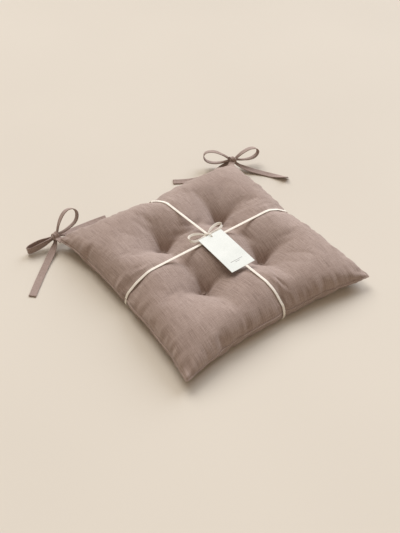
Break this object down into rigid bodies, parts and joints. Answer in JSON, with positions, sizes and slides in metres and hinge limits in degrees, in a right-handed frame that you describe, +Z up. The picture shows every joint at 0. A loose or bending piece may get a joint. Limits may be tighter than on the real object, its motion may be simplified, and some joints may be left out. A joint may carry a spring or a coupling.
{
  "type": "seat cushion",
  "caption": "Square tufted linen seat cushion with tie bows at the two back corners, wrapped crosswise in flat cotton ribbon with a plain hang tag.",
  "frame": {"origin": "middle of the underside, on the surface that the cushion lies on", "axes": "+Z up out of the tufted face, +Y to the edge with the ties, +X to the right"},
  "size_m": [0.5905, 0.4543, 0.0667],
  "materials": {
    "linen": "matte slub-weave linen",
    "tie": "matte folded linen tape",
    "filling": "loose cotton fibre",
    "thread": "waxed thread",
    "ribbon": "flat braided cotton, soft sheen",
    "card": "smooth uncoated card"
  },
  "bodies": {
    "pad": {"top_cover": "linen", "bottom_cover": "linen", "filling": "filling", "edge_seam": "linen", "tuft_thread_front_left": "thread", "tuft_thread_back_left": "thread", "tuft_thread_front_right": "thread", "tuft_thread_back_right": "thread", "wrap_ribbon_across": "ribbon", "wrap_ribbon_along": "ribbon", "wrap_knot": "ribbon", "wrap_left_loop": "ribbon", "wrap_right_loop": "ribbon", "wrap_left_end": "ribbon", "wrap_right_end": "ribbon", "left_tie_root": "tie", "right_tie_root": "tie"},
    "left_bow": {"left_tie_knot": "tie", "left_tie_upright_loop": "tie", "left_tie_outer_loop": "tie"},
    "left_outer_tail": {"left_tie_outer_tail": "tie"},
    "left_back_tail": {"left_tie_back_tail": "tie"},
    "right_bow": {"right_tie_knot": "tie", "right_tie_back_loop": "tie", "right_tie_outer_loop": "tie"},
    "right_outer_tail": {"right_tie_outer_tail": "tie"},
    "right_back_tail": {"right_tie_back_tail": "tie"},
    "tag": {"hang_tag": "card", "tag_string": "ribbon"}
  },
  "joints": [
    {"name": "left_bow_flop", "type": "hinge", "parent": "pad", "child": "left_bow", "pos_m": [-0.202, 0.213, 0.018], "axis": [1, 0, 0], "range_deg": [-20, 10]},
    {"name": "left_outer_tail_lift", "type": "hinge", "parent": "pad", "child": "left_outer_tail", "pos_m": [-0.202, 0.213, 0.018], "axis": [-0.6816, 0.7317, 0], "range_deg": [0, 70]},
    {"name": "left_back_tail_swing", "type": "hinge", "parent": "pad", "child": "left_back_tail", "pos_m": [-0.202, 0.213, 0.018], "axis": [0, 0, 1], "range_deg": [0, 50]},
    {"name": "right_bow_flop", "type": "hinge", "parent": "pad", "child": "right_bow", "pos_m": [0.209, 0.208, 0.02], "axis": [0.898, -0.44, 0], "range_deg": [-8, 20]},
    {"name": "right_outer_tail_lift", "type": "hinge", "parent": "pad", "child": "right_outer_tail", "pos_m": [0.209, 0.208, 0.02], "axis": [-0.8118, -0.5839, 0], "range_deg": [0, 70]},
    {"name": "right_back_tail_swing", "type": "hinge", "parent": "pad", "child": "right_back_tail", "pos_m": [0.209, 0.208, 0.02], "axis": [0, 0, -1], "range_deg": [0, 40]},
    {"name": "tag_lift", "type": "hinge", "parent": "pad", "child": "tag", "pos_m": [0.004, 0.012, 0.063], "axis": [-0.9997, -0.0262, 0], "range_deg": [0, 110]}
  ]
}
